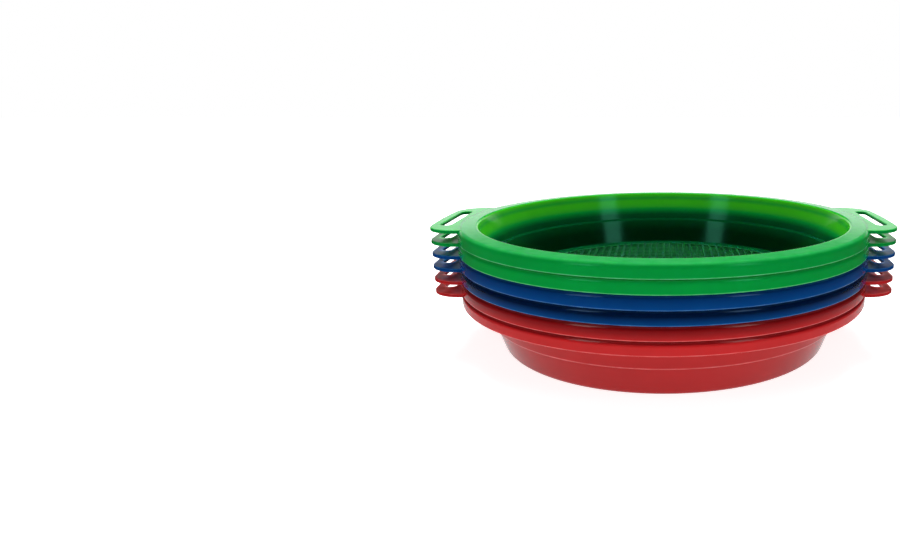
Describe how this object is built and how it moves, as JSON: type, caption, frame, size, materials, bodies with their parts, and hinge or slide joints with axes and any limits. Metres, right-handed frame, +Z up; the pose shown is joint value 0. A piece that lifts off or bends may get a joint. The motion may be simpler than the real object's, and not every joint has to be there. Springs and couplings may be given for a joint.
{
  "type": "nesting sand sieves",
  "caption": "Nest of round plastic sand sieves, each a shallow stepped bowl with a wide skirted rim, slotted handles and a square-mesh floor; each sieve lifts off the nest.",
  "frame": {"origin": "centre of the foot of the lowest sieve, on the surface that it stands on", "axes": "+Z up along the common axis of the nest, +X through the middles of the right-hand handles"},
  "size_m": [0.2396, 0.2158, 0.0653],
  "materials": {
    "red_plastic": "glossy moulded polyethylene",
    "blue_plastic": "glossy moulded polyethylene",
    "green_plastic": "glossy moulded polyethylene"
  },
  "bodies": {
    "red_lower": {"red_lower_bowl": "red_plastic", "red_lower_mesh": "red_plastic"},
    "red_upper": {"red_upper_bowl": "red_plastic", "red_upper_mesh": "red_plastic"},
    "blue_lower": {"blue_lower_bowl": "blue_plastic", "blue_lower_mesh": "blue_plastic"},
    "blue_upper": {"blue_upper_bowl": "blue_plastic", "blue_upper_mesh": "blue_plastic"},
    "green_lower": {"green_lower_bowl": "green_plastic", "green_lower_mesh": "green_plastic"},
    "green_upper": {"green_upper_bowl": "green_plastic", "green_upper_mesh": "green_plastic"}
  },
  "joints": [
    {"name": "red_upper_lift", "type": "slide", "parent": "red_lower", "child": "red_upper", "axis": [0, 0, 1], "range_m": [0, 0.045]},
    {"name": "blue_lower_lift", "type": "slide", "parent": "red_upper", "child": "blue_lower", "axis": [0, 0, 1], "range_m": [0, 0.045]},
    {"name": "blue_upper_lift", "type": "slide", "parent": "blue_lower", "child": "blue_upper", "axis": [0, 0, 1], "range_m": [0, 0.045]},
    {"name": "green_lower_lift", "type": "slide", "parent": "blue_upper", "child": "green_lower", "axis": [0, 0, 1], "range_m": [0, 0.045]},
    {"name": "green_upper_lift", "type": "slide", "parent": "green_lower", "child": "green_upper", "axis": [0, 0, 1], "range_m": [0, 0.045]}
  ]
}
